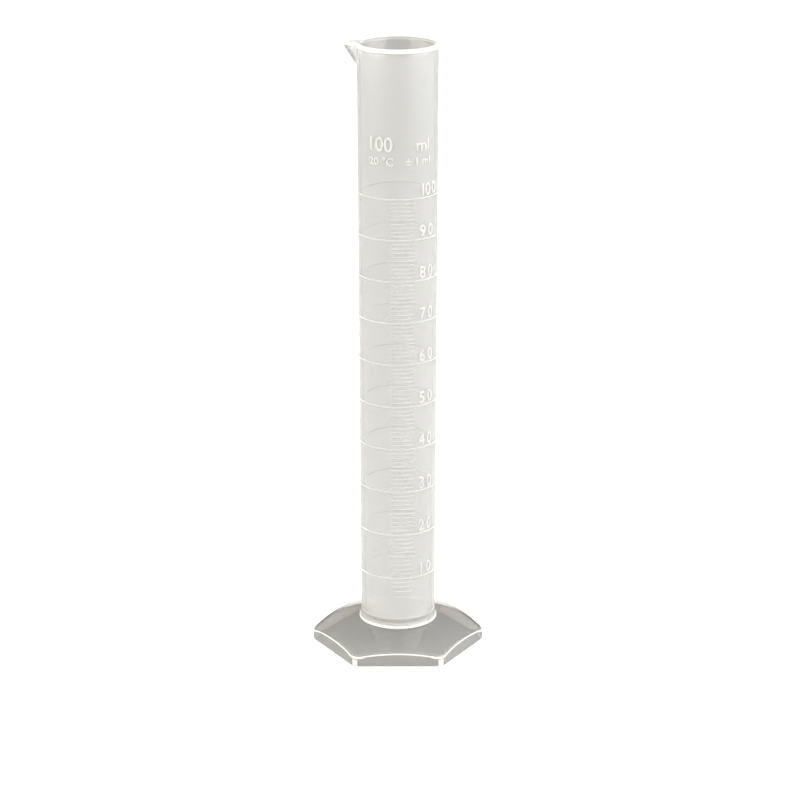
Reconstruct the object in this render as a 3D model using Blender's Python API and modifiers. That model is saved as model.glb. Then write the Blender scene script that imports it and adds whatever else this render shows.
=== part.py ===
"""Graduated cylinder, 100 ml: a milky moulded tube with a pouring spout, plugged into a clear
hexagonal foot. Metres, +Z up, origin on the floor under the tube's axis, scale facing -Y."""

from math import atan2, cos, pi, radians, sin, sqrt

import bmesh
import bpy
from mathutils import Matrix, Vector

MM = 0.001
GAP = 0.3 * MM                      # clearance between the two mouldings
OVER = 2.0 * MM                     # how far a cutter runs past what it cuts

# ---- driving dimensions ----
TOTAL_HEIGHT = 244.2 * MM
SEAT_HEIGHT = 9.7 * MM              # top of the foot, where the tube's shoulder sits
RADIUS_TOP = 15.66 * MM             # tube's outer radius at the rim
RADIUS_BOTTOM = 14.8 * MM           # tube's outer radius just above its shoulder
WALL_TOP = 1.2 * MM
WALL_BOTTOM = 1.85 * MM
FOOT_REACH = 34.4 * MM              # from the axis to a rounded corner of the foot
CORNER_ROUND = 4.6 * MM             # the foot's corners, seen from above
CAPACITY_MARKS = 10                 # one ring for every 10 ml
TEN_MILLILITRES = 10e-6             # cubic metres

# ---- tube ----
FLOOR_THICKNESS = 1.6 * MM
FLOOR_TOP = 12.65 * MM              # inside floor of the tube
FLOOR_FILLET = 1.2 * MM
SHOULDER_RADIUS = 15.6 * MM
SHOULDER_HEIGHT = 0.7 * MM
SHOULDER_FILLET = 1.1 * MM          # height of the slope from shoulder to tube
BEAD_PROUD = 0.43 * MM              # rim bead, beyond the tube's wall
BEAD_HEIGHT = 1.6 * MM
RING_PROUD = 0.2 * MM               # the raised 10 ml rings
RING_HEIGHT = 0.5 * MM
RIM_CHAMFER = 0.3 * MM
FILLET_KNEE = 0.3                   # where a fillet's middle point lies, as a share of its size
PLUG_RADIUS = 13.3 * MM
PLUG_WALL = 1.5 * MM
PLUG_BOTTOM = 7.4 * MM
PLUG_CHAMFER = 0.4 * MM

# ---- spout ----
SPOUT_TURN = radians(172)           # the lip points at -X, turned 8 degrees to the back
SPOUT_REACH = 21.8 * MM             # tip of the beak, from the axis
SPOUT_HALF_WIDTH = 5.0 * MM         # where the beak leaves the tube
SPOUT_DROP = 9.4 * MM               # from the rim down to where the keel meets the tube
SPOUT_TIP_RADIUS = 0.9 * MM
SPOUT_BURIED = 1.2 * MM             # how deep the beak's flat back sits in the tube's wall
LIP_PROUD = 0.35 * MM
LIP_HEIGHT = 1.2 * MM
CHANNEL_TIP_WALL = 1.4 * MM         # plastic left at the tip
CHANNEL_HALF_WIDTH = 5.2 * MM       # where the channel starts, inside the bore
CHANNEL_DROP = 10.8 * MM
CHANNEL_TIP_RADIUS = 0.3 * MM

# ---- foot ----
FOOT_WALL = 1.6 * MM
SKIRT_WALL = 1.8 * MM
SEAT_RADIUS = 15.9 * MM             # flat ring that the tube's shoulder sits on
DOME_SLOPE = 0.177                  # how the foot's top falls away from the seat,
DOME_CURVE = 6.8                    # and how much faster with each metre outwards
EDGE_ROUND = 1.2 * MM               # rounding along the skirt's top edge
EDGE_STEPS = 4
CEILING_ROUND = 0.6 * MM            # under the skirt's top edge, inside

TUBE_STEPS = 64
FOOT_STEPS = 96
CORNER_STEPS = 6                    # facets round one corner of the foot
FLAT_STEPS = 8                      # facets along one side of the foot

SOCKET_RADIUS = PLUG_RADIUS + GAP
SHOULDER_BOTTOM = SEAT_HEIGHT + GAP
CORNER_CENTRE = FOOT_REACH - CORNER_ROUND
FOOT_FLAT = CORNER_CENTRE * cos(pi / 6) + CORNER_ROUND  # from the axis to a side of the foot


# ---- helpers ----
def clear_scene():
    for old in list(bpy.data.objects):
        bpy.data.objects.remove(old)


def make_collection(name):
    collection = bpy.data.collections.new(name)
    bpy.context.scene.collection.children.link(collection)
    return collection


def make_material(name, color, roughness, transmission):
    material = bpy.data.materials.new(name)
    material.use_nodes = True
    shader = material.node_tree.nodes["Principled BSDF"]
    shader.inputs["Base Color"].default_value = (*color, 1.0)
    shader.inputs["Roughness"].default_value = roughness
    shader.inputs["Metallic"].default_value = 0.0
    shader.inputs["Transmission Weight"].default_value = transmission
    shader.inputs["IOR"].default_value = 1.49
    return material


def mesh_object(name, bm, collection):
    mesh = bpy.data.meshes.new(name)
    bm.to_mesh(mesh)
    bm.free()
    obj = bpy.data.objects.new(name, mesh)
    collection.objects.link(obj)
    return obj


def turned(name, profile, steps, collection):
    """A closed body turned about Z from (radius, height) points that run down its outer side."""
    bm = bmesh.new()
    verts = [bm.verts.new((radius, 0.0, height)) for radius, height in profile]
    for first, second in zip(verts, verts[1:]):
        bm.edges.new((first, second))
    obj = mesh_object(name, bm, collection)
    screw = obj.modifiers.new("Turn", "SCREW")
    screw.steps = steps
    screw.render_steps = steps
    screw.use_merge_vertices = True
    screw.merge_threshold = 0.00005
    return obj


def make_cutter(obj):
    obj.hide_render = True
    obj.display_type = "WIRE"


def add_boolean(obj, operation, other):
    modifier = obj.modifiers.new(operation.title(), "BOOLEAN")
    modifier.operation = operation
    modifier.solver = "EXACT"
    modifier.object = other
    make_cutter(other)


def lofted(name, sections, collection):
    """A closed body round Z from one section of (radius, height) points for each direction."""
    bm = bmesh.new()
    rings = []
    for angle, points in sections:
        rings.append([bm.verts.new((radius * cos(angle), radius * sin(angle), height))
                      for radius, height in points])
    top = bm.verts.new((0.0, 0.0, sections[0][1][0][1]))
    bottom = bm.verts.new((0.0, 0.0, sections[0][1][-1][1]))
    for here, there in zip(rings, rings[1:] + rings[:1]):
        bm.faces.new((top, here[0], there[0]))
        bm.faces.new((bottom, there[-1], here[-1]))
        for index in range(len(here) - 1):
            bm.faces.new((here[index], here[index + 1], there[index + 1], there[index]))
    bmesh.ops.recalc_face_normals(bm, faces=bm.faces)
    return mesh_object(name, bm, collection)


# ---- tube ----
def tube_radius(height):
    """Outer radius of the tapered tube at a height."""
    share = (height - SEAT_HEIGHT) / (TOTAL_HEIGHT - SEAT_HEIGHT)
    return RADIUS_BOTTOM + share * (RADIUS_TOP - RADIUS_BOTTOM)


def bore_radius(height):
    """Inner radius of the tube at a height; the wall thins a little towards the rim."""
    share = (height - SEAT_HEIGHT) / (TOTAL_HEIGHT - SEAT_HEIGHT)
    return tube_radius(height) - WALL_BOTTOM - share * (WALL_TOP - WALL_BOTTOM)


def ring_heights():
    """Heights of the 10 ml rings, from the volume that the tapered bore holds."""
    heights = []
    height = FLOOR_TOP
    volume = 0.0
    step = 0.05 * MM                # slices thin enough to add up as an integral
    while len(heights) < CAPACITY_MARKS:
        volume += pi * bore_radius(height + step / 2) ** 2 * step
        height += step
        if volume >= (len(heights) + 1) * TEN_MILLILITRES:
            heights.append(height)
    return heights


def outer_wall():
    """Outer side of the tube, from under the rim bead down to the shoulder, with its rings."""
    points = []
    for height in reversed(ring_heights()):
        top = height + RING_HEIGHT / 2
        bottom = height - RING_HEIGHT / 2
        points.append((tube_radius(top), top))
        points.append((tube_radius(height) + RING_PROUD, height))
        points.append((tube_radius(bottom), bottom))
    return points


def tube_profile():
    """Outline of the tube from the middle of its floor up the bore, over the rim and down."""
    bore_bottom = bore_radius(FLOOR_TOP)
    bore_top = bore_radius(TOTAL_HEIGHT)
    bead = RADIUS_TOP + BEAD_PROUD
    shoulder_top = SHOULDER_BOTTOM + SHOULDER_HEIGHT
    slope_top = shoulder_top + SHOULDER_FILLET
    shoulder_step = SHOULDER_RADIUS - RADIUS_BOTTOM
    plug_inner = PLUG_RADIUS - PLUG_WALL
    floor_bottom = FLOOR_TOP - FLOOR_THICKNESS
    return [
        (0.0, FLOOR_TOP),
        (bore_bottom - FLOOR_FILLET, FLOOR_TOP),
        (bore_bottom - FLOOR_FILLET * FILLET_KNEE, FLOOR_TOP + FLOOR_FILLET * FILLET_KNEE),
        (bore_bottom, FLOOR_TOP + FLOOR_FILLET),
        (bore_top, TOTAL_HEIGHT - RIM_CHAMFER),
        (bore_top + RIM_CHAMFER, TOTAL_HEIGHT),
        (bead - RIM_CHAMFER, TOTAL_HEIGHT),
        (bead, TOTAL_HEIGHT - RIM_CHAMFER),
        (bead, TOTAL_HEIGHT - BEAD_HEIGHT + RIM_CHAMFER),
        (tube_radius(TOTAL_HEIGHT - BEAD_HEIGHT), TOTAL_HEIGHT - BEAD_HEIGHT),
        *outer_wall(),
        (tube_radius(slope_top), slope_top),
        (RADIUS_BOTTOM + shoulder_step * FILLET_KNEE, shoulder_top + SHOULDER_FILLET * FILLET_KNEE),
        (SHOULDER_RADIUS, shoulder_top),
        (SHOULDER_RADIUS, SHOULDER_BOTTOM),
        (PLUG_RADIUS, SHOULDER_BOTTOM),
        (PLUG_RADIUS, PLUG_BOTTOM + PLUG_CHAMFER),
        (PLUG_RADIUS - PLUG_CHAMFER, PLUG_BOTTOM),
        (plug_inner, PLUG_BOTTOM),
        (plug_inner, floor_bottom),
        (0.0, floor_bottom),
    ]


def beak_outline(back, reach, half_width, tip_radius):
    """Plan of the beak along +X: straight sides from back to a rounded tip, as (x, y) points."""
    side = Vector((reach - back, half_width)).normalized()
    half_angle = Vector((1.0, 0.0)).angle(side)
    centre = reach - tip_radius
    arc = [half_angle - pi / 2 + step * (pi - 2 * half_angle) / 6 for step in range(7)]
    tip = [(centre + tip_radius * cos(angle), tip_radius * sin(angle)) for angle in arc]
    return [(back, -half_width), *tip, (back, half_width)]


def beak(name, outline, top, keel_foot, collection):
    """The solid between an outline at height top and the point keel_foot below it."""
    bm = bmesh.new()
    ring = [bm.verts.new((x, y, top)) for x, y in outline]
    foot = bm.verts.new(keel_foot)
    bm.faces.new(ring)
    for first, second in zip(ring, ring[1:] + ring[:1]):
        bm.faces.new((second, first, foot))
    bmesh.ops.recalc_face_normals(bm, faces=bm.faces)
    bmesh.ops.rotate(bm, verts=bm.verts, cent=(0, 0, 0), matrix=Matrix.Rotation(SPOUT_TURN, 3, "Z"))
    return mesh_object(name, bm, collection)


def lip_plate(name, outline, collection):
    """The thicker edge around the beak, a flat plate as high as the lip."""
    bm = bmesh.new()
    face = bm.faces.new([bm.verts.new((x, y, TOTAL_HEIGHT - LIP_HEIGHT)) for x, y in outline])
    grown = bmesh.ops.extrude_face_region(bm, geom=[face])
    raised = [item for item in grown["geom"] if isinstance(item, bmesh.types.BMVert)]
    bmesh.ops.translate(bm, verts=raised, vec=(0.0, 0.0, LIP_HEIGHT))
    bmesh.ops.recalc_face_normals(bm, faces=bm.faces)
    bmesh.ops.rotate(bm, verts=bm.verts, cent=(0, 0, 0), matrix=Matrix.Rotation(SPOUT_TURN, 3, "Z"))
    return mesh_object(name, bm, collection)


def add_spout(tube, cutters):
    """Joins the beak to the rim and opens its channel into the bore."""
    root = RADIUS_TOP - SPOUT_BURIED
    keel_lean = SPOUT_DROP / (SPOUT_REACH - RADIUS_TOP)
    keel_foot = (root, 0.0, TOTAL_HEIGHT - SPOUT_DROP - SPOUT_BURIED * keel_lean)
    outline = beak_outline(root, SPOUT_REACH, SPOUT_HALF_WIDTH, SPOUT_TIP_RADIUS)
    body = beak("beak_body", outline, TOTAL_HEIGHT, keel_foot, cutters)
    lip_outline = beak_outline(root, SPOUT_REACH + LIP_PROUD, SPOUT_HALF_WIDTH + LIP_PROUD,
                               SPOUT_TIP_RADIUS + LIP_PROUD)
    lip = lip_plate("beak_lip", lip_outline, cutters)
    throat = RADIUS_TOP - WALL_TOP - OVER
    channel_outline = beak_outline(throat, SPOUT_REACH - CHANNEL_TIP_WALL, CHANNEL_HALF_WIDTH,
                                   CHANNEL_TIP_RADIUS)
    channel_foot = (throat, 0.0, TOTAL_HEIGHT - CHANNEL_DROP)
    channel = beak("beak_channel", channel_outline, TOTAL_HEIGHT + OVER / 2, channel_foot, cutters)
    add_boolean(tube, "UNION", body)
    add_boolean(tube, "UNION", lip)
    add_boolean(tube, "DIFFERENCE", channel)


def make_tube(parts, cutters):
    tube = turned("measuring_tube", tube_profile(), TUBE_STEPS, parts)
    add_spout(tube, cutters)
    return tube


# ---- foot ----
def corner_half_angle():
    """Half the angle that a rounded corner takes up, seen from the axis."""
    return atan2(CORNER_ROUND * sin(pi / 6), CORNER_CENTRE + CORNER_ROUND * cos(pi / 6))


def foot_directions():
    """Directions round the foot: close together round its corners, wider along its sides."""
    half = corner_half_angle()
    directions = []
    for corner in range(6):
        middle = corner * pi / 3
        for step in range(CORNER_STEPS):
            directions.append(middle - half + 2 * half * step / CORNER_STEPS)
        for step in range(FLAT_STEPS):
            directions.append(middle + half + (pi / 3 - 2 * half) * step / FLAT_STEPS)
    return directions


def foot_reach(angle, inset):
    """Distance from the axis to the foot's rounded outline in one direction, drawn in by inset."""
    off_corner = abs((angle + pi / 6) % (pi / 3) - pi / 6)
    rounding = CORNER_ROUND - inset
    corner_end = atan2(rounding * sin(pi / 6), CORNER_CENTRE + rounding * cos(pi / 6))
    if off_corner >= corner_end:
        return (FOOT_FLAT - inset) / cos(pi / 6 - off_corner)
    across = CORNER_CENTRE * sin(off_corner)
    return CORNER_CENTRE * cos(off_corner) + sqrt(rounding ** 2 - across ** 2)


def dome_height(radius):
    """Height of the foot's domed top at a distance from the axis, before its edge is rounded."""
    outward = max(radius - SEAT_RADIUS, 0.0)
    return SEAT_HEIGHT - DOME_SLOPE * outward - DOME_CURVE * outward ** 2


def rounded_edge(start, knee, end, steps):
    """Points of a smooth turn from start to end under a knee."""
    points = []
    for step in range(steps + 1):
        share = step / steps
        weights = ((1 - share) ** 2, 2 * share * (1 - share), share ** 2)
        points.append(tuple(sum(weight * point[axis] for weight, point in zip(weights, (start, knee, end)))
                            for axis in (0, 1)))
    return points


def outer_section(angle):
    """The foot's outside in one direction: seat, dome, rounded edge and upright skirt."""
    reach = foot_reach(angle, 0.0)
    edge = foot_reach(angle, EDGE_ROUND)
    between = [SEAT_RADIUS + (edge - SEAT_RADIUS) * share for share in (0.0, 1 / 3, 2 / 3)]
    dome = [(radius, dome_height(radius)) for radius in between]
    knee = dome_height(reach)
    turn = rounded_edge((edge, dome_height(edge)), (reach, knee), (reach, knee - EDGE_ROUND), EDGE_STEPS)
    return [*dome, *turn, (reach, 0.0)]


def hollow_section(angle):
    """The underside's hollow in one direction, a wall's thickness inside the outer section."""
    reach = foot_reach(angle, SKIRT_WALL)
    edge = reach - CEILING_ROUND
    between = [SEAT_RADIUS + (edge - SEAT_RADIUS) * share for share in (0.0, 1 / 2, 1.0)]
    ceiling = [(radius, dome_height(radius) - FOOT_WALL) for radius in between]
    return [*ceiling, (reach, dome_height(reach) - FOOT_WALL - CEILING_ROUND), (reach, -OVER)]


def make_foot(parts, cutters):
    """The domed hexagonal shell, open below, with the round socket that the tube's plug fills."""
    directions = foot_directions()
    foot = lofted("hexagonal_foot", [(angle, outer_section(angle)) for angle in directions], parts)
    hollow = lofted("foot_hollow", [(angle, hollow_section(angle)) for angle in directions], cutters)
    add_boolean(foot, "DIFFERENCE", hollow)
    socket = turned("foot_socket", [
        (0.0, SEAT_HEIGHT + OVER),
        (SOCKET_RADIUS, SEAT_HEIGHT + OVER),
        (SOCKET_RADIUS, -OVER),
        (0.0, -OVER),
    ], FOOT_STEPS, cutters)
    add_boolean(foot, "DIFFERENCE", socket)
    return foot


def finish(obj, material):
    """Makes the cuts and joins final, shades the round faces smooth and gives the material."""
    bpy.context.view_layer.update()
    evaluated = obj.evaluated_get(bpy.context.evaluated_depsgraph_get())
    mesh = bpy.data.meshes.new_from_object(evaluated)
    obj.modifiers.clear()
    obj.data = mesh
    mesh.name = obj.name
    mesh.shade_smooth()
    mesh.set_sharp_from_angle(angle=radians(30))
    mesh.materials.clear()
    mesh.materials.append(material)


def main():
    clear_scene()
    parts = make_collection("graduated_cylinder")
    cutters = make_collection("cutters")
    tube = make_tube(parts, cutters)
    foot = make_foot(parts, cutters)
    finish(tube, make_material("milky_plastic", (0.86, 0.86, 0.83), 0.35, 0.4))
    finish(foot, make_material("clear_plastic", (0.82, 0.83, 0.82), 0.08, 0.9))


main()
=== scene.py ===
from math import atan2, cos, hypot, pi, radians, sin, sqrt

import bmesh
import bpy
from mathutils import Matrix, Vector


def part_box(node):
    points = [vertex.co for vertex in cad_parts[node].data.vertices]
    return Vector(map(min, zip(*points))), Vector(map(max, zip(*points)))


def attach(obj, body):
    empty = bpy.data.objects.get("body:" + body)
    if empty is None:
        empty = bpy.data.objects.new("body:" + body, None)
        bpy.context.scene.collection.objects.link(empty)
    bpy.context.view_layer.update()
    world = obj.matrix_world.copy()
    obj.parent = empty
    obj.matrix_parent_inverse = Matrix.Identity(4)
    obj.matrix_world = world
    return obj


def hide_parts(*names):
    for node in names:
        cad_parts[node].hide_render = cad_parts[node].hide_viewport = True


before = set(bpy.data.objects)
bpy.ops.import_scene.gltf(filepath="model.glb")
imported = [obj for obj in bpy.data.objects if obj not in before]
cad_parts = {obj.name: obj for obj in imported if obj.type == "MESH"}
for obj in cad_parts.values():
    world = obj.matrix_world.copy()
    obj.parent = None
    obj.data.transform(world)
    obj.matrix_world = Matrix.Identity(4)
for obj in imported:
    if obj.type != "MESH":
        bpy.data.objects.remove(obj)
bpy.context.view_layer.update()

MM = 0.001
MILLILITRE = 1e-6                       # in cubic metres
SIXTH = pi / 3                          # a sixth of a turn, from one corner of the foot to the next
MERGE = 0.0005 * MM                     # points closer than this are one

# ---- places and sizes, from the frame ----
TUBE_LOW, TUBE_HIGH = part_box("measuring_tube")
FOOT_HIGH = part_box("hexagonal_foot")[1]
RIM = TUBE_HIGH[2]
PLUG_BOTTOM = TUBE_LOW[2]
BEAD_RADIUS = TUBE_HIGH[0]              # the rim bead is the tube's widest turned part
SEAT = FOOT_HIGH[2]
FOOT_FLAT = FOOT_HIGH[1]                # from the axis to a flat side of the skirt

# ---- the tube moulding ----
BEAD_PROUD = 0.43 * MM
BEAD_HEIGHT = 1.6 * MM
RADIUS_TOP = BEAD_RADIUS - BEAD_PROUD
RADIUS_SHARE_BOTTOM = 0.945             # the tube's taper, bottom over top
RADIUS_BOTTOM = RADIUS_TOP * RADIUS_SHARE_BOTTOM
WALL_TOP = 1.2 * MM
WALL_BOTTOM = 1.85 * MM
BORE_POINTS = (6, 40, 90, 150, 205, 225)        # millimetres above the floor
OUTSIDE_POINTS = (240, 230, 190, 150, 110, 70, 40, 20)  # millimetres above the ground
RIM_ROUND = 0.35 * MM
SHOULDER_BOTTOM = SEAT + 0.3 * MM
SHOULDER_HEIGHT = 0.7 * MM
SHOULDER_RADIUS = 15.6 * MM
SHOULDER_FILLET = 1.1 * MM
SHOULDER_ROUND = 0.3 * MM
FLOOR_TOP = 12.65 * MM
FLOOR_THICKNESS = 1.6 * MM
FLOOR_FILLET = 1.2 * MM
PLUG_RADIUS = 13.3 * MM
PLUG_WALL = 1.5 * MM
PLUG_ROUND = 0.4 * MM
PLUG_INNER_ROUND = 0.3 * MM
TUBE_STEPS = 192

# ---- the pouring spout ----
SPOUT_TURN = radians(172)
SPOUT_REACH = 21.8 * MM
SPOUT_HALF_WIDTH = 5.0 * MM
SPOUT_DROP = 9.4 * MM
SPOUT_TIP_RADIUS = 0.9 * MM
SPOUT_BURIED = 1.2 * MM
LIP_PROUD = 0.35 * MM
LIP_HEIGHT = 1.2 * MM
LIP_ROUND = 0.22 * MM
CHANNEL_TIP_WALL = 1.4 * MM
CHANNEL_HALF_WIDTH = 5.2 * MM
CHANNEL_DROP = 10.8 * MM
CHANNEL_TIP_RADIUS = 0.3 * MM
TIP_STEPS = 12                          # facets round the spout's tip
OVER = 2.0 * MM                         # how far a cutter runs past what it cuts

# ---- the raised scale ----
MARK_PROUD = 0.16 * MM                  # radius of the half-round marks
RING_PROUD = 0.2 * MM
NO_LEAVING_OUT = 1000                   # a volume that no mark reaches
NUMERAL_HEIGHT = 4.9 * MM
NUMERAL_ABOVE_RING = 0.8 * MM
NUMERAL_SQUEEZE = 0.92
NUMERAL_PLACES = {2: (38.0, 53.5), 3: (38.0, 47.5, 61.0)}   # degrees from the scale's middle
FIGURE_SHARE = 0.73                     # a figure's height over the font's size
LETTER_PROUD = 0.16 * MM
LETTER_EDGE = 0.05 * MM
LETTER_SLICE = 0.4 * MM                 # letters are cut this fine, so that they bend round the tube
LEGEND_HIGH_LINE = 18.6 * MM            # above the highest ring
LEGEND_LOW_LINE = 13.2 * MM
LEGEND_VOLUME_SIZE = 5.8 * MM / FIGURE_SHARE
LEGEND_UNIT_SIZE = 4.9 * MM / 0.76
LEGEND_SMALL_SIZE = 3.1 * MM / FIGURE_SHARE

# ---- the foot moulding ----
SEAT_RADIUS = 15.9 * MM
SKIRT_WALL = 1.8 * MM
FOOT_WALL = 1.6 * MM
CORNER_ROUND = 4.6 * MM
CORNER_CENTRE = FOOT_HIGH[0] - CORNER_ROUND     # from the axis to a corner's centre
DOME_SLOPE = 0.177                      # how the foot's top falls away from the seat,
DOME_CURVE = 6.8                        # and how much faster with each metre outwards
EDGE_ROUND = 1.2 * MM                   # rounding along the skirt's top edge
CEILING_ROUND = 0.6 * MM                # under the skirt's top edge, inside
FOOT_EDGE = 0.25 * MM                   # rounding of the foot's small edges
HIGHLIGHT_BAND = (0.2, 0.65)              # the band of painted highlight on the top edge, as shares of its rounding
HIGHLIGHT_CORNER = 0.5                    # how much of each upright corner carries the painted highlight
SOCKET_RADIUS = PLUG_RADIUS + 0.3 * MM
FOOT_CORNER_STEPS = 12                  # facets round one corner
FOOT_SIDE_STEPS = 22                    # facets along one side
DOME_STEPS = 8                          # facets from the seat out to the edge

# ---- materials ----
PAST_BORE = 0.1 * MM                    # the thick plastic starts this far outside the bore at the rim,
PAST_SHOULDER = 0.2 * MM                # and this far above the shoulder
RIM_TOP_DEPTH = 0.5 * MM                # the painted highlight on the rim's top reaches down this far,
RIM_TOP_LEAN = 0.4                      # where the face looks up at least this much
PLASTIC_IOR = 1.49
WAVE_HEIGHT = 0.4 * MM
GRAIN_HEIGHT = 0.05 * MM

# ---- studio and camera ----
CAMERA_DISTANCE = 1.040
CAMERA_HEIGHT = 0.4365
CAMERA_PITCH = radians(17.858)
CAMERA_YAW = radians(0.046)
CAMERA_LENS = 124.2                     # in millimetres, like the sensor
CAMERA_SENSOR = 36.0
CAMERA_NEAR = 0.05
CAMERA_FAR = 20.0
HORIZON_TONE = (0.34, 0.29, 0.22, 1.0)
SKY_TONE = (0.44, 0.45, 0.46, 1.0)
LIT_POINT = (0.0, 0.0, 0.12)            # where the soft lights point
FLOOR_TONE = (0.38, 0.38, 0.375, 1.0)
FLOOR_GLOW = 0.85                       # keeps the floor white far from the lights
MIRRORED_SHARE = 0.7                    # how much of that glow the mirror reflections pick up


# ---- node helpers ----
def put(tree, kind, inputs=None, **settings):
    """Adds a node, sets its properties, and fills or links its inputs by name or number."""
    made = tree.nodes.new(kind)
    for name, value in settings.items():
        setattr(made, name, value)
    for key, value in (inputs or {}).items():
        if isinstance(value, bpy.types.NodeSocket):
            tree.links.new(value, made.inputs[key])
        else:
            made.inputs[key].default_value = value
    return made


def calc(tree, operation, first, second=0.0, third=0.0):
    """One Math node's result."""
    return put(tree, "ShaderNodeMath", {0: first, 1: second, 2: third}, operation=operation).outputs[0]


def mesh_object(name, bm):
    mesh = bpy.data.meshes.new(name)
    bm.to_mesh(mesh)
    bm.free()
    obj = bpy.data.objects.new(name, mesh)
    bpy.context.scene.collection.objects.link(obj)
    return obj


def settle(obj, name=None):
    """Turns an object with modifiers into a plain mesh object at the origin."""
    wanted = name or obj.name
    bpy.context.view_layer.update()
    evaluated = obj.evaluated_get(bpy.context.evaluated_depsgraph_get())
    mesh = bpy.data.meshes.new_from_object(evaluated)
    mesh.transform(obj.matrix_world)
    plain = bpy.data.objects.new(wanted, mesh)
    bpy.context.scene.collection.objects.link(plain)
    bpy.data.objects.remove(obj)
    plain.name = wanted
    return plain


def give(obj, material):
    obj.data.materials.clear()
    obj.data.materials.append(material)


def give_where(obj, material, chosen):
    """Gives a second material to the faces chosen by their centre and normal."""
    obj.data.materials.append(material)
    slot = len(obj.data.materials) - 1
    for face in obj.data.polygons:
        if chosen(face.center, face.normal):
            face.material_index = slot


def smooth(obj, angle=32):
    obj.data.shade_smooth()
    obj.data.set_sharp_from_angle(angle=radians(angle))


# ---- materials ----
def surface_texture(tree, coords, waviness, grain):
    """A moulded skin's bump: long soft waves down the draw of the mould, and a fine grain."""
    stretched = put(tree, "ShaderNodeMapping", {"Vector": coords, "Scale": (1.0, 1.0, 0.12)}).outputs[0]
    wave = put(tree, "ShaderNodeTexNoise", {"Vector": stretched, "Scale": 160.0, "Detail": 2.0})
    fine = put(tree, "ShaderNodeTexNoise", {"Vector": coords, "Scale": 2600.0, "Detail": 3.0})
    soft = put(tree, "ShaderNodeBump", {
        "Strength": waviness,
        "Distance": WAVE_HEIGHT,
        "Height": wave.outputs["Fac"],
    }).outputs[0]
    return put(tree, "ShaderNodeBump", {
        "Strength": grain,
        "Distance": GRAIN_HEIGHT,
        "Height": fine.outputs["Fac"],
        "Normal": soft,
    }).outputs[0]


def plastic(name, light, dark, roughness, transmission, waviness, grain, streaks_per_metre=90.0):
    """Moulded plastic: two close tones in streaks down the piece, a varied gloss and a soft bump."""
    material = bpy.data.materials.new(name)
    material.use_nodes = True
    tree = material.node_tree
    shader = tree.nodes["Principled BSDF"]
    coords = put(tree, "ShaderNodeTexCoord").outputs["Object"]
    stretched = put(tree, "ShaderNodeMapping", {"Vector": coords, "Scale": (1.0, 1.0, 0.18)}).outputs[0]
    streaks = put(tree, "ShaderNodeTexNoise", {
        "Vector": stretched,
        "Scale": streaks_per_metre,
        "Detail": 4.0,
        "Roughness": 0.55,
    })
    tone = put(tree, "ShaderNodeMix", {"Factor": streaks.outputs["Fac"]}, data_type="RGBA")
    tone.inputs["A"].default_value = (*light, 1.0)
    tone.inputs["B"].default_value = (*dark, 1.0)
    tree.links.new(tone.outputs["Result"], shader.inputs["Base Color"])
    blotches = put(tree, "ShaderNodeTexNoise", {"Vector": coords, "Scale": 240.0, "Detail": 3.0})
    gloss = put(tree, "ShaderNodeMapRange", {
        "Value": blotches.outputs["Fac"],
        "To Min": roughness * 0.8,
        "To Max": roughness * 1.3,
    }).outputs[0]
    tree.links.new(gloss, shader.inputs["Roughness"])
    tree.links.new(surface_texture(tree, coords, waviness, grain), shader.inputs["Normal"])
    shader.inputs["Transmission Weight"].default_value = transmission
    shader.inputs["IOR"].default_value = PLASTIC_IOR
    return material


def milky_plastic():
    return plastic("milky_plastic", (0.975, 0.98, 0.98), (0.94, 0.945, 0.945),
                   roughness=0.03, transmission=0.80, waviness=0.05, grain=0.02)


def thick_milky_plastic():
    """The rim, the shoulder and the floor, where more plastic lets less light straight through."""
    return plastic("thick_milky_plastic", (0.98, 0.975, 0.955), (0.94, 0.935, 0.915),
                   roughness=0.15, transmission=0.25, waviness=0.1, grain=0.05)


def raised_mark_plastic():
    """Thin raised ridges of the wall's own plastic, made opaque here with a grey tone set so that they
    come out a little whiter than the wall they stand on: painted light, standing in for the light that
    the ridges catch.
    """
    # painted light: this grey tone stands in for the light the moulded ridges catch
    return plastic("raised_mark_plastic", (0.63, 0.63, 0.63), (0.59, 0.59, 0.59),
                   roughness=0.45, transmission=0.0, waviness=0.05, grain=0.05, streaks_per_metre=400.0)


def clear_plastic():
    return plastic("clear_plastic", (0.95, 0.945, 0.93), (0.91, 0.905, 0.89),
                   roughness=0.03, transmission=0.92, waviness=0.06, grain=0.02)


def painted_highlight_plastic():
    """The foot's rounded edges and the rim's top: a paler, matt plastic that lets little light through,
    a painted highlight for the light that those edges catch.
    """
    return plastic("painted_highlight_plastic", (0.85, 0.845, 0.82), (0.80, 0.795, 0.77),
                   roughness=0.30, transmission=0.15, waviness=0.1, grain=0.1)


# ---- the tube ----
def tube_radius(height):
    share = (height - SEAT) / (RIM - SEAT)
    return RADIUS_BOTTOM + share * (RADIUS_TOP - RADIUS_BOTTOM)


def bore_radius(height):
    share = (height - SEAT) / (RIM - SEAT)
    return tube_radius(height) - WALL_BOTTOM - share * (WALL_TOP - WALL_BOTTOM)


def arc(centre, radius, start, end, count):
    """Points of an arc in the (radius, height) plane, angles in degrees from straight out."""
    points = []
    for step in range(count + 1):
        angle = radians(start + (end - start) * step / count)
        points.append((centre[0] + radius * cos(angle), centre[1] + radius * sin(angle)))
    return points


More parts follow.
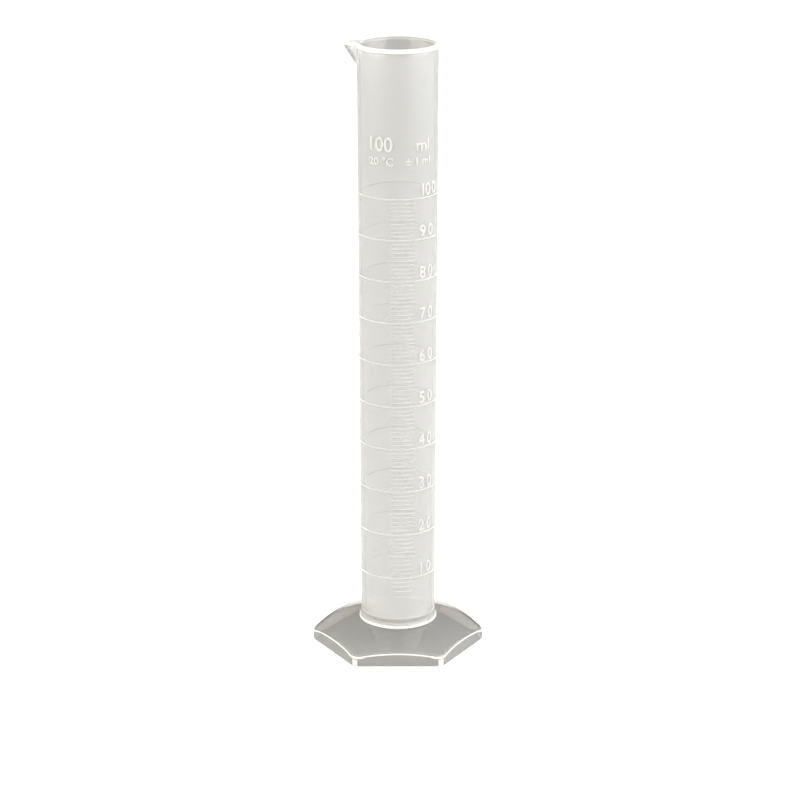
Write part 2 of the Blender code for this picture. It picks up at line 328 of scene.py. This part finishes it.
def tube_outline():
    """The tube's section from the middle of its floor, up the bore, over the rim and down outside."""
    bore_low = bore_radius(FLOOR_TOP)
    bore_high = bore_radius(RIM)
    lip = RIM_ROUND
    under_bead = RIM - BEAD_HEIGHT
    below_bead = under_bead - 0.3 * MM
    shoulder_top = SHOULDER_BOTTOM + SHOULDER_HEIGHT
    fillet_foot = tube_radius(shoulder_top)
    top_round = SHOULDER_ROUND
    low_round = SHOULDER_ROUND / 2
    step = SHOULDER_RADIUS - fillet_foot
    floor_bottom = FLOOR_TOP - FLOOR_THICKNESS
    plug_inner = PLUG_RADIUS - PLUG_WALL
    plug_round = PLUG_INNER_ROUND
    bore_heights = [FLOOR_TOP + rise * MM for rise in BORE_POINTS]
    outside_heights = [below_bead, *(height * MM for height in OUTSIDE_POINTS)]
    fillet_angles = [radians(value) for value in (90, 72, 54, 36, 18)]
    return [
        (0.0, FLOOR_TOP),
        (bore_low - FLOOR_FILLET * 2.5, FLOOR_TOP),
        *arc((bore_low - FLOOR_FILLET, FLOOR_TOP + FLOOR_FILLET), FLOOR_FILLET, -90, 0, 8),
        *((bore_radius(height), height) for height in bore_heights),
        *arc((bore_high + lip, RIM - lip), lip, 180, 90, 5),
        *arc((BEAD_RADIUS - lip, RIM - lip), lip, 90, 0, 5),
        *arc((BEAD_RADIUS - lip, under_bead + lip), lip, 0, -75, 4),
        *((tube_radius(height), height) for height in outside_heights),
        *((fillet_foot + step * (1 - sin(angle)), shoulder_top + SHOULDER_FILLET * (1 - cos(angle)))
          for angle in fillet_angles),
        *arc((SHOULDER_RADIUS - top_round, shoulder_top - top_round), top_round, 80, 0, 4),
        *arc((SHOULDER_RADIUS - low_round, SHOULDER_BOTTOM + low_round), low_round, 0, -90, 3),
        (PLUG_RADIUS + 0.1 * MM, SHOULDER_BOTTOM),
        *arc((PLUG_RADIUS - PLUG_ROUND, PLUG_BOTTOM + PLUG_ROUND), PLUG_ROUND, 0, -90, 4),
        *arc((plug_inner + plug_round, PLUG_BOTTOM + plug_round), plug_round, -90, -180, 3),
        (plug_inner, floor_bottom - PLUG_ROUND),
        (plug_inner - PLUG_ROUND, floor_bottom),
        (0.0, floor_bottom),
    ]


def finish_tree(tree, geometry, material):
    """Ends a Geometry Nodes tree: real mesh, and its material."""
    realized = put(tree, "GeometryNodeRealizeInstances", {"Geometry": geometry}).outputs[0]
    painted = put(tree, "GeometryNodeSetMaterial", {"Geometry": realized, "Material": material})
    put(tree, "NodeGroupOutput", {0: painted.outputs[0]})


def turning_tree():
    """Geometry Nodes that turn an outline of (radius, height) points about Z into a closed body."""
    tree = bpy.data.node_groups.new("turned_body", "GeometryNodeTree")
    face = tree.interface
    face.new_socket("Outline", in_out="INPUT", socket_type="NodeSocketGeometry")
    face.new_socket("Steps", in_out="INPUT", socket_type="NodeSocketInt")
    face.new_socket("Plastic", in_out="INPUT", socket_type="NodeSocketMaterial")
    face.new_socket("Body", in_out="OUTPUT", socket_type="NodeSocketGeometry")
    start = put(tree, "NodeGroupInput").outputs
    counted = put(tree, "GeometryNodeAttributeDomainSize", {"Geometry": start["Outline"]})
    points = counted.outputs["Point Count"]
    turns = calc(tree, "ADD", start["Steps"], 1.0)
    grid = put(tree, "GeometryNodeMeshGrid", {"Vertices X": turns, "Vertices Y": points}).outputs["Mesh"]
    index = put(tree, "GeometryNodeInputIndex").outputs[0]
    around = calc(tree, "FLOOR", calc(tree, "DIVIDE", calc(tree, "ADD", index, 0.5), points))
    along = calc(tree, "SUBTRACT", index, calc(tree, "MULTIPLY", around, points))
    place = put(tree, "GeometryNodeInputPosition").outputs[0]
    picked = put(tree, "GeometryNodeSampleIndex", {"Geometry": start["Outline"], "Index": along},
                 data_type="FLOAT_VECTOR", domain="POINT")
    tree.links.new(place, picked.inputs["Value"])
    split = put(tree, "ShaderNodeSeparateXYZ", {0: picked.outputs["Value"]}).outputs
    angle = calc(tree, "DIVIDE", calc(tree, "MULTIPLY", around, 2 * pi), start["Steps"])
    put_at = put(tree, "ShaderNodeCombineXYZ", {
        0: calc(tree, "MULTIPLY", split[0], calc(tree, "COSINE", angle)),
        1: calc(tree, "MULTIPLY", split[0], calc(tree, "SINE", angle)),
        2: split[2],
    }).outputs[0]
    moved = put(tree, "GeometryNodeSetPosition", {"Geometry": grid, "Position": put_at}).outputs[0]
    closed = put(tree, "GeometryNodeMergeByDistance", {"Geometry": moved, "Distance": 2 * MERGE})
    finish_tree(tree, closed.outputs[0], start["Plastic"])
    return tree


def set_inputs(modifier, values):
    """Sets a Geometry Nodes modifier's inputs through each socket's identifier."""
    for item in modifier.node_group.interface.items_tree:
        if item.in_out == "INPUT" and item.name in values:
            modifier[item.identifier] = values[item.name]


def turned(name, outline, steps, tree, material):
    bm = bmesh.new()
    verts = [bm.verts.new((radius, 0.0, height)) for radius, height in outline]
    for first, second in zip(verts, verts[1:]):
        bm.edges.new((first, second))
    obj = mesh_object(name, bm)
    modifier = obj.modifiers.new("turn", "NODES")
    modifier.node_group = tree
    set_inputs(modifier, {"Steps": steps, "Plastic": material})
    return settle(obj)


def make_outward(obj):
    bm = bmesh.new()
    bm.from_mesh(obj.data)
    bmesh.ops.remove_doubles(bm, verts=bm.verts, dist=MERGE)
    bmesh.ops.recalc_face_normals(bm, faces=bm.faces)
    if bm.calc_volume(signed=True) < 0:
        bmesh.ops.reverse_faces(bm, faces=bm.faces)
    bm.to_mesh(obj.data)
    bm.free()


def beak_outline(back, reach, half_width, tip_radius):
    """Plan of the spout along +X: straight sides from back to a rounded tip."""
    half_angle = Vector((1.0, 0.0)).angle(Vector((reach - back, half_width)))
    centre = reach - tip_radius
    facet = (pi - 2 * half_angle) / TIP_STEPS
    angles = [half_angle - pi / 2 + step * facet for step in range(TIP_STEPS + 1)]
    tip = [(centre + tip_radius * cos(angle), tip_radius * sin(angle)) for angle in angles]
    return [(back, -half_width), *tip, (back, half_width)]


def turn_to_spout(bm):
    bmesh.ops.recalc_face_normals(bm, faces=bm.faces)
    bmesh.ops.rotate(bm, verts=bm.verts, cent=(0, 0, 0), matrix=Matrix.Rotation(SPOUT_TURN, 3, "Z"))


def beak(name, outline, top, keel_foot):
    """The solid between an outline at height top and one point below it."""
    bm = bmesh.new()
    ring = [bm.verts.new((x, y, top)) for x, y in outline]
    foot = bm.verts.new(keel_foot)
    bm.faces.new(ring)
    for first, second in zip(ring, ring[1:] + ring[:1]):
        bm.faces.new((second, first, foot))
    turn_to_spout(bm)
    return mesh_object(name, bm)


def lip_plate(name, outline):
    """The thicker edge around the spout, with its top and bottom edges rounded."""
    bm = bmesh.new()
    face = bm.faces.new([bm.verts.new((x, y, RIM - LIP_HEIGHT)) for x, y in outline])
    grown = bmesh.ops.extrude_face_region(bm, geom=[face])
    raised = [item for item in grown["geom"] if isinstance(item, bmesh.types.BMVert)]
    bmesh.ops.translate(bm, verts=raised, vec=(0.0, 0.0, LIP_HEIGHT))
    level = [edge for edge in bm.edges if abs(edge.verts[0].co.z - edge.verts[1].co.z) < LIP_HEIGHT / 2]
    bmesh.ops.bevel(bm, geom=level, offset=LIP_ROUND, segments=3, profile=0.5, affect="EDGES")
    turn_to_spout(bm)
    return mesh_object(name, bm)


def cut(obj, operation, other):
    modifier = obj.modifiers.new(operation.title(), "BOOLEAN")
    modifier.operation = operation
    modifier.solver = "EXACT"
    modifier.object = other


def in_thick_plastic(centre, normal):
    """True on the rim bead, the top of the spout's lip, the shoulder and the closed floor."""
    radius = hypot(centre.x, centre.y)
    if radius > BEAD_RADIUS:
        return centre.z > RIM - LIP_HEIGHT and abs(normal.z) < 0.5
    if centre.z > RIM - BEAD_HEIGHT:
        return radius > bore_radius(RIM) + PAST_BORE
    if radius < bore_radius(FLOOR_TOP):
        return centre.z < FLOOR_TOP + FLOOR_FILLET
    return centre.z < SHOULDER_BOTTOM + SHOULDER_HEIGHT + PAST_SHOULDER


def on_rim_top(centre, normal):
    """True on the bright top edge of the rim and of the spout's lip, where the highlight is painted."""
    return centre.z > RIM - RIM_TOP_DEPTH and normal.z > RIM_TOP_LEAN


def make_tube(tree, material, thick, bright):
    tube = turned("tube_moulding", tube_outline(), TUBE_STEPS, tree, material)
    make_outward(tube)
    root = RADIUS_TOP - SPOUT_BURIED
    keel_lean = SPOUT_DROP / (SPOUT_REACH - RADIUS_TOP)
    keel_foot = (root, 0.0, RIM - SPOUT_DROP - SPOUT_BURIED * keel_lean)
    body_outline = beak_outline(root, SPOUT_REACH, SPOUT_HALF_WIDTH, SPOUT_TIP_RADIUS)
    body = beak("beak_body", body_outline, RIM - 0.1 * MM, keel_foot)
    lip_outline = beak_outline(root, SPOUT_REACH + LIP_PROUD, SPOUT_HALF_WIDTH + LIP_PROUD,
                               SPOUT_TIP_RADIUS + LIP_PROUD)
    lip = lip_plate("beak_lip", lip_outline)
    throat = RADIUS_TOP - WALL_TOP - OVER
    channel_outline = beak_outline(throat, SPOUT_REACH - CHANNEL_TIP_WALL, CHANNEL_HALF_WIDTH,
                                   CHANNEL_TIP_RADIUS)
    channel = beak("beak_channel", channel_outline, RIM + OVER / 2, (throat, 0.0, RIM - CHANNEL_DROP))
    cut(tube, "UNION", body)
    cut(tube, "UNION", lip)
    cut(tube, "DIFFERENCE", channel)
    tube = settle(tube, "tube_moulding")
    for cutter in (body, lip, channel):
        bpy.data.objects.remove(cutter)
    smooth(tube)
    give(tube, material)
    give_where(tube, thick, in_thick_plastic)
    # the top of the rim and of the lip get the painted highlight
    give_where(tube, bright, on_rim_top)
    return tube


# ---- the raised scale ----
def marks_tree():
    """Geometry Nodes for raised marks round the tube, each at the height that its volume reaches."""
    tree = bpy.data.node_groups.new("volume_marks", "GeometryNodeTree")
    face = tree.interface
    face.new_socket("Geometry", in_out="INPUT", socket_type="NodeSocketGeometry")
    for name in ("Marks", "First ml", "Step ml", "Leave Out Every", "Arc Steps"):
        face.new_socket(name, in_out="INPUT", socket_type="NodeSocketInt")
    for name in ("Start Angle", "Sweep", "Mark Radius", "Floor Height", "Bore At Floor", "Bore Growth",
                 "Outside At Floor", "Outside Growth"):
        face.new_socket(name, in_out="INPUT", socket_type="NodeSocketFloat")
    face.new_socket("Plastic", in_out="INPUT", socket_type="NodeSocketMaterial")
    face.new_socket("Marks", in_out="OUTPUT", socket_type="NodeSocketGeometry")
    start = put(tree, "NodeGroupInput").outputs
    line = put(tree, "GeometryNodeMeshLine", {"Count": start["Marks"]}).outputs[0]
    index = put(tree, "GeometryNodeInputIndex").outputs[0]
    millilitres = calc(tree, "MULTIPLY_ADD", index, start["Step ml"], start["First ml"])
    remainder = calc(tree, "MODULO", millilitres, start["Leave Out Every"])
    left_out = put(tree, "FunctionNodeCompare", {"A": remainder, "B": 0.5}, data_type="FLOAT",
                   operation="LESS_THAN").outputs[0]
    volume = calc(tree, "MULTIPLY", millilitres, MILLILITRE)
    tripled = calc(tree, "MULTIPLY", start["Bore Growth"], 3.0)
    swept = calc(tree, "DIVIDE", calc(tree, "MULTIPLY", volume, tripled), pi)
    cube = calc(tree, "ADD", swept, calc(tree, "POWER", start["Bore At Floor"], 3.0))
    bore = calc(tree, "POWER", cube, 1.0 / 3.0)
    widened = calc(tree, "SUBTRACT", bore, start["Bore At Floor"])
    rise = calc(tree, "DIVIDE", widened, start["Bore Growth"])
    height = calc(tree, "ADD", start["Floor Height"], rise)
    outside = calc(tree, "MULTIPLY_ADD", rise, start["Outside Growth"], start["Outside At Floor"])
    place = put(tree, "ShaderNodeCombineXYZ", {2: height}).outputs[0]
    raised = put(tree, "GeometryNodeSetPosition", {"Geometry": line, "Position": place}).outputs[0]
    widen = calc(tree, "DIVIDE", outside, start["Outside At Floor"])
    scale = put(tree, "ShaderNodeCombineXYZ", {0: widen, 1: widen, 2: 1.0}).outputs[0]
    stored = put(tree, "GeometryNodeStoreNamedAttribute", {
        "Geometry": raised,
        "Name": "widen",
        "Value": scale,
    }, data_type="FLOAT_VECTOR", domain="POINT").outputs[0]
    kept = put(tree, "GeometryNodeDeleteGeometry", {"Geometry": stored, "Selection": left_out})
    curve = put(tree, "GeometryNodeCurveArc", {
        "Resolution": start["Arc Steps"],
        "Radius": start["Outside At Floor"],
        "Start Angle": start["Start Angle"],
        "Sweep Angle": start["Sweep"],
    }).outputs[0]
    profile = put(tree, "GeometryNodeCurvePrimitiveCircle", {
        "Resolution": 8,
        "Radius": start["Mark Radius"],
    }).outputs[0]
    bead = put(tree, "GeometryNodeCurveToMesh", {
        "Curve": curve,
        "Profile Curve": profile,
        "Fill Caps": True,
    }).outputs[0]
    spread = put(tree, "GeometryNodeInputNamedAttribute", {"Name": "widen"}, data_type="FLOAT_VECTOR")
    placed = put(tree, "GeometryNodeInstanceOnPoints", {
        "Points": kept.outputs[0],
        "Instance": bead,
        "Scale": spread.outputs[0],
    }).outputs[0]
    finish_tree(tree, placed, start["Plastic"])
    return tree


def bore_at_floor():
    return bore_radius(FLOOR_TOP)


def bore_growth():
    return (bore_radius(RIM) - bore_radius(FLOOR_TOP)) / (RIM - FLOOR_TOP)


def height_of(millilitres):
    """Height of a volume in the tapered bore."""
    first = bore_at_floor()
    growth = bore_growth()
    bore = (3 * growth * millilitres * MILLILITRE / pi + first ** 3) ** (1 / 3)
    return FLOOR_TOP + (bore - first) / growth


def make_marks(name, tree, material, proud, marks, first, step, leave_out, arc_steps,
               start=0.0, sweep=360.0):
    """Raised marks from one volume upwards. They start so many degrees from the scale's middle and run
    through a sweep of so many degrees."""
    obj = mesh_object(name, bmesh.new())
    modifier = obj.modifiers.new("marks", "NODES")
    modifier.node_group = tree
    set_inputs(modifier, {
        "Marks": marks,
        "First ml": first,
        "Step ml": step,
        "Leave Out Every": leave_out,
        "Arc Steps": arc_steps,
        "Start Angle": radians(start) - pi / 2,
        "Sweep": radians(sweep),
        "Mark Radius": proud,
        "Floor Height": FLOOR_TOP,
        "Bore At Floor": bore_at_floor(),
        "Bore Growth": bore_growth(),
        "Outside At Floor": tube_radius(FLOOR_TOP),
        "Outside Growth": (RADIUS_TOP - RADIUS_BOTTOM) / (RIM - SEAT),
        "Plastic": material,
    })
    made = settle(obj)
    make_outward(made)
    smooth(made, 50)
    give(made, material)
    return made


def lettering(name, words, size, squeeze, middle, foot, material):
    """Raised letters wrapped on the tube: middle is the angle from the scale's centre line."""
    curve = bpy.data.curves.new(name, "FONT")
    curve.body = words
    curve.size = size
    curve.align_x = "CENTER"
    curve.extrude = LETTER_PROUD
    curve.bevel_depth = LETTER_EDGE
    curve.bevel_resolution = 1
    curve.resolution_u = 6
    flat = bpy.data.objects.new(name, curve)
    bpy.context.scene.collection.objects.link(flat)
    obj = settle(flat, name)
    bm = bmesh.new()
    bm.from_mesh(obj.data)
    bmesh.ops.remove_doubles(bm, verts=bm.verts, dist=MERGE)
    bmesh.ops.scale(bm, verts=bm.verts, vec=(squeeze, 1.0, 1.0))
    left = min(vert.co.x for vert in bm.verts)
    right = max(vert.co.x for vert in bm.verts)
    slice_at = left + LETTER_SLICE
    while slice_at < right:
        whole = bm.verts[:] + bm.edges[:] + bm.faces[:]
        bmesh.ops.bisect_plane(bm, geom=whole, plane_co=(slice_at, 0, 0), plane_no=(1, 0, 0))
        slice_at += LETTER_SLICE
    for vert in bm.verts:
        across, up, out = vert.co
        height = foot + up
        surface = tube_radius(height)
        angle = middle + across / surface - pi / 2
        reach = surface + out
        vert.co = (reach * cos(angle), reach * sin(angle), height)
    bmesh.ops.recalc_face_normals(bm, faces=bm.faces)
    bm.to_mesh(obj.data)
    bm.free()
    smooth(obj, 40)
    give(obj, material)
    return obj


def join(objects, name):
    """Makes one mesh object of several."""
    bm = bmesh.new()
    for obj in objects:
        bm.from_mesh(obj.data)
    material = objects[0].data.materials[0]
    joined = mesh_object(name, bm)
    for obj in objects:
        bpy.data.objects.remove(obj)
    joined.name = name
    give(joined, material)
    smooth(joined, 40)
    return joined


def make_scale(material):
    """All the marks: a ring each 10 ml, a long mark each 5 ml and a short one each millilitre."""
    tree = marks_tree()
    rings = make_marks("ten_millilitre_rings", tree, material, RING_PROUD,
                       marks=10, first=10, step=10, leave_out=NO_LEAVING_OUT, arc_steps=160, start=90.0)
    long_marks = make_marks("five_millilitre_marks", tree, material, MARK_PROUD,
                            marks=9, first=15, step=10, leave_out=10, arc_steps=24,
                            start=-13.0, sweep=41.0)
    short_marks = make_marks("one_millilitre_marks", tree, material, MARK_PROUD,
                             marks=93, first=7, step=1, leave_out=5, arc_steps=14,
                             start=-9.0, sweep=33.0)
    return [rings, long_marks, short_marks]


def make_numerals(material):
    """The figures beside the rings, each one in its own place round the tube."""
    pieces = []
    for tens in range(1, 11):
        foot = height_of(tens * 10) + RING_PROUD + NUMERAL_ABOVE_RING
        figures = str(tens * 10)
        places = NUMERAL_PLACES[len(figures)]
        for count, (figure, place) in enumerate(zip(figures, places)):
            pieces.append(lettering(f"numeral_{tens}_{count}", figure, NUMERAL_HEIGHT / FIGURE_SHARE,
                                    NUMERAL_SQUEEZE, radians(place), foot, material))
    return join(pieces, "numerals")


def make_legend(material):
    """The generic capacity legend above the scale."""
    high = height_of(100) + LEGEND_HIGH_LINE
    low = height_of(100) + LEGEND_LOW_LINE
    pieces = [
        lettering("legend_volume", "100", LEGEND_VOLUME_SIZE, 0.9, radians(-27), high, material),
        lettering("legend_unit", "ml", LEGEND_UNIT_SIZE, 1.05, radians(38), high, material),
        lettering("legend_temperature", "20 °C", LEGEND_SMALL_SIZE, 1.0, radians(-25), low, material),
        lettering("legend_tolerance", "± 1 ml", LEGEND_SMALL_SIZE, 1.0, radians(31), low, material),
    ]
    return join(pieces, "capacity_legend")


# ---- the foot ----
def angle_off_corner(angle):
    """How far a direction is from the nearest corner."""
    return abs((angle + SIXTH / 2) % SIXTH - SIXTH / 2)


def corner_half_angle(inset=0.0):
    """Half the angle that a rounded corner takes up, seen from the axis."""
    rounding = CORNER_ROUND - inset
    return atan2(rounding * sin(SIXTH / 2), CORNER_CENTRE + rounding * cos(SIXTH / 2))


def foot_reach(angle, inset):
    """Distance from the axis to the foot's rounded outline in one direction, drawn in by inset."""
    off_corner = angle_off_corner(angle)
    rounding = CORNER_ROUND - inset
    if off_corner >= corner_half_angle(inset):
        return (FOOT_FLAT - inset) / cos(SIXTH / 2 - off_corner)
    across = CORNER_CENTRE * sin(off_corner)
    return CORNER_CENTRE * cos(off_corner) + sqrt(rounding ** 2 - across ** 2)


def dome_height(radius):
    """Height of the foot's domed top at a distance from the axis, before its edge is rounded."""
    outward = max(radius - SEAT_RADIUS, 0.0)
    return SEAT - DOME_SLOPE * outward - DOME_CURVE * outward ** 2


def rounded_edge(start, knee, end, steps):
    """Points of a smooth turn from start to end under a knee."""
    points = []
    for step in range(steps + 1):
        share = step / steps
        weights = ((1 - share) ** 2, 2 * share * (1 - share), share ** 2)
        weighted = list(zip(weights, (start, knee, end)))
        points.append(tuple(sum(weight * point[axis] for weight, point in weighted) for axis in (0, 1)))
    return points


def foot_section(angle):
    """The foot's closed section in one direction: (radius, height) points out over the dome, down the
    skirt and back under the ceiling to the socket."""
    reach = foot_reach(angle, 0.0)
    edge = foot_reach(angle, EDGE_ROUND)
    knee = dome_height(reach)
    inner = foot_reach(angle, SKIRT_WALL)
    inner_edge = inner - CEILING_ROUND
    socket = SOCKET_RADIUS
    small = FOOT_EDGE

    def ceiling(radius):
        return dome_height(radius) - FOOT_WALL

    out_over = (edge - SEAT_RADIUS) / DOME_STEPS
    back_under = (SEAT_RADIUS - inner_edge) / DOME_STEPS
    dome = [SEAT_RADIUS + out_over * step for step in range(DOME_STEPS)]
    under = [inner_edge + back_under * step for step in range(1, DOME_STEPS + 1)]
    return [
        *rounded_edge((socket, SEAT - small), (socket, SEAT), (socket + small, SEAT), 2),
        *((radius, dome_height(radius)) for radius in dome),
        *rounded_edge((edge, dome_height(edge)), (reach, knee), (reach, knee - EDGE_ROUND), 8),
        *rounded_edge((reach, small), (reach, 0.0), (reach - small, 0.0), 3),
        *rounded_edge((inner + small, 0.0), (inner, 0.0), (inner, small), 3),
        *rounded_edge((inner, ceiling(inner) - CEILING_ROUND), (inner, ceiling(inner)),
                      (inner_edge, ceiling(inner_edge)), 4),
        *((radius, ceiling(radius)) for radius in under),
        *rounded_edge((socket + small, ceiling(socket)), (socket, ceiling(socket)),
                      (socket, ceiling(socket) + small), 2),
    ]


def foot_directions():
    """Directions round the foot: close together round its corners, wider along its sides."""
    half = corner_half_angle()
    directions = []
    for corner in range(6):
        middle = corner * SIXTH
        for step in range(FOOT_CORNER_STEPS):
            directions.append(middle - half + 2 * half * step / FOOT_CORNER_STEPS)
        for step in range(FOOT_SIDE_STEPS):
            directions.append(middle + half + (SIXTH - 2 * half) * step / FOOT_SIDE_STEPS)
    return directions


def on_painted_highlight_edge(centre, _normal):
    """True on the foot's rounded top edge and on the middle of its upright corners, where the highlight
    is painted.
    """
    angle = atan2(centre.y, centre.x)
    radius = hypot(centre.x, centre.y)
    if centre.z < FOOT_EDGE * 2 or foot_reach(angle, 0.0) - radius > EDGE_ROUND:
        return False
    under_knee = (dome_height(foot_reach(angle, 0.0)) - centre.z) / EDGE_ROUND
    if under_knee < 1.0:
        return HIGHLIGHT_BAND[0] < under_knee < HIGHLIGHT_BAND[1]
    return angle_off_corner(angle) < corner_half_angle() * HIGHLIGHT_CORNER


def make_foot(material, edge_highlight):
    """A ring of sections that follow the rounded hexagon."""
    bm = bmesh.new()
    rings = []
    for angle in foot_directions():
        rings.append([bm.verts.new((radius * cos(angle), radius * sin(angle), height))
                      for radius, height in foot_section(angle)])
    for here, there in zip(rings, rings[1:] + rings[:1]):
        for index in range(len(here)):
            following = (index + 1) % len(here)
            bm.faces.new((here[index], here[following], there[following], there[index]))
    foot = mesh_object("foot_moulding", bm)
    make_outward(foot)
    smooth(foot, 40)
    give(foot, material)
    # the rounded top edge and the upright corners get the painted highlight
    give_where(foot, edge_highlight, on_painted_highlight_edge)
    return foot


# ---- studio ----
def make_floor():
    bm = bmesh.new()
    bmesh.ops.create_grid(bm, x_segments=1, y_segments=1, size=4.0)
    floor = mesh_object("studio_floor", bm)
    material = bpy.data.materials.new("pale_floor")
    material.use_nodes = True
    shader = material.node_tree.nodes["Principled BSDF"]
    shader.inputs["Base Color"].default_value = FLOOR_TONE
    shader.inputs["Roughness"].default_value = 0.9
    shader.inputs["Specular IOR Level"].default_value = 0.0
    tree = material.node_tree
    rays = put(tree, "ShaderNodeLightPath").outputs
    not_through = calc(tree, "SUBTRACT", 1.0, rays["Is Transmission Ray"])
    glossy = calc(tree, "MULTIPLY", rays["Is Glossy Ray"], not_through)
    mirrored = calc(tree, "MULTIPLY", glossy, MIRRORED_SHARE)
    seen = calc(tree, "ADD", rays["Is Camera Ray"], mirrored)
    glow = calc(tree, "MULTIPLY", seen, FLOOR_GLOW)
    shader.inputs["Emission Color"].default_value = (1.0, 1.0, 1.0, 1.0)
    tree.links.new(glow, shader.inputs["Emission Strength"])
    give(floor, material)


def soft_light(name, place, size, power, color=(1.0, 1.0, 1.0)):
    light = bpy.data.lights.new(name, "AREA")
    light.shape = "RECTANGLE"
    light.size, light.size_y = size
    light.energy = power
    light.color = color
    obj = bpy.data.objects.new(name, light)
    obj.location = place
    aim = Vector(LIT_POINT) - Vector(place)
    obj.rotation_euler = aim.to_track_quat("-Z", "Y").to_euler()
    bpy.context.scene.collection.objects.link(obj)


def make_studio():
    """A light tent: bright above, dimmer and warmer towards the horizon, with soft boxes round it."""
    scene = bpy.context.scene
    world = bpy.data.worlds.new("studio")
    world.use_nodes = True
    tree = world.node_tree
    tree.nodes.clear()
    seen = put(tree, "ShaderNodeBackground", {"Color": (1.0, 1.0, 1.0, 1.0), "Strength": 1.0})
    way = put(tree, "ShaderNodeTexCoord").outputs["Generated"]
    up = put(tree, "ShaderNodeSeparateXYZ", {0: way}).outputs["Z"]
    height = put(tree, "ShaderNodeMapRange", {"Value": up, "From Min": 0.05, "From Max": 0.5}).outputs[0]
    tone = put(tree, "ShaderNodeMix", {"Factor": height}, data_type="RGBA")
    tone.inputs["A"].default_value = HORIZON_TONE
    tone.inputs["B"].default_value = SKY_TONE
    lit = put(tree, "ShaderNodeBackground", {"Color": tone.outputs["Result"], "Strength": 1.0})
    rays = put(tree, "ShaderNodeLightPath")
    both = put(tree, "ShaderNodeMixShader", {
        0: rays.outputs["Is Camera Ray"],
        1: lit.outputs[0],
        2: seen.outputs[0],
    })
    put(tree, "ShaderNodeOutputWorld", {"Surface": both.outputs[0]})
    scene.world = world
    make_floor()
    soft_light("window_left", (-1.0, -0.4, 0.55), (1.4, 1.9), 26.0, (1.0, 0.95, 0.86))
    soft_light("window_right", (1.0, -0.4, 0.55), (1.4, 1.9), 31.5, (1.0, 0.99, 0.96))
    soft_light("front_fill", (0.0, -1.3, 1.1), (1.2, 0.8), 4.0)
    soft_light("overhead", (0.0, 0.1, 1.5), (1.2, 1.0), 3.5)


def make_camera():
    camera = bpy.data.objects.new("camera", bpy.data.cameras.new("camera"))
    camera.data.lens = CAMERA_LENS
    camera.data.sensor_width = CAMERA_SENSOR
    camera.data.clip_start = CAMERA_NEAR
    camera.data.clip_end = CAMERA_FAR
    camera.location = (0.0, -CAMERA_DISTANCE, CAMERA_HEIGHT)
    camera.rotation_euler = (pi / 2 - CAMERA_PITCH, 0.0, -CAMERA_YAW)
    bpy.context.scene.collection.objects.link(camera)
    bpy.context.scene.camera = camera


def set_rendering():
    scene = bpy.context.scene
    scene.view_settings.view_transform = "Standard"
    scene.cycles.max_bounces = 24
    scene.cycles.transmission_bounces = 24
    scene.cycles.glossy_bounces = 8
    scene.cycles.diffuse_bounces = 6


def main():
    set_rendering()
    make_studio()
    make_camera()
    milky = milky_plastic()
    clear = clear_plastic()
    thick = thick_milky_plastic()
    # painted highlight for the rounded edges of the foot and the rim
    edge_highlight = painted_highlight_plastic()
    raised = raised_mark_plastic()
    tree = turning_tree()
    tube = make_tube(tree, milky, thick, edge_highlight)
    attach(tube, "tube")
    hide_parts("measuring_tube")
    scale = make_scale(raised)
    for piece in (*scale, make_numerals(raised), make_legend(raised)):
        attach(piece, "tube")
    foot = make_foot(clear, edge_highlight)
    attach(foot, "foot")
    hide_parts("hexagonal_foot")


main()
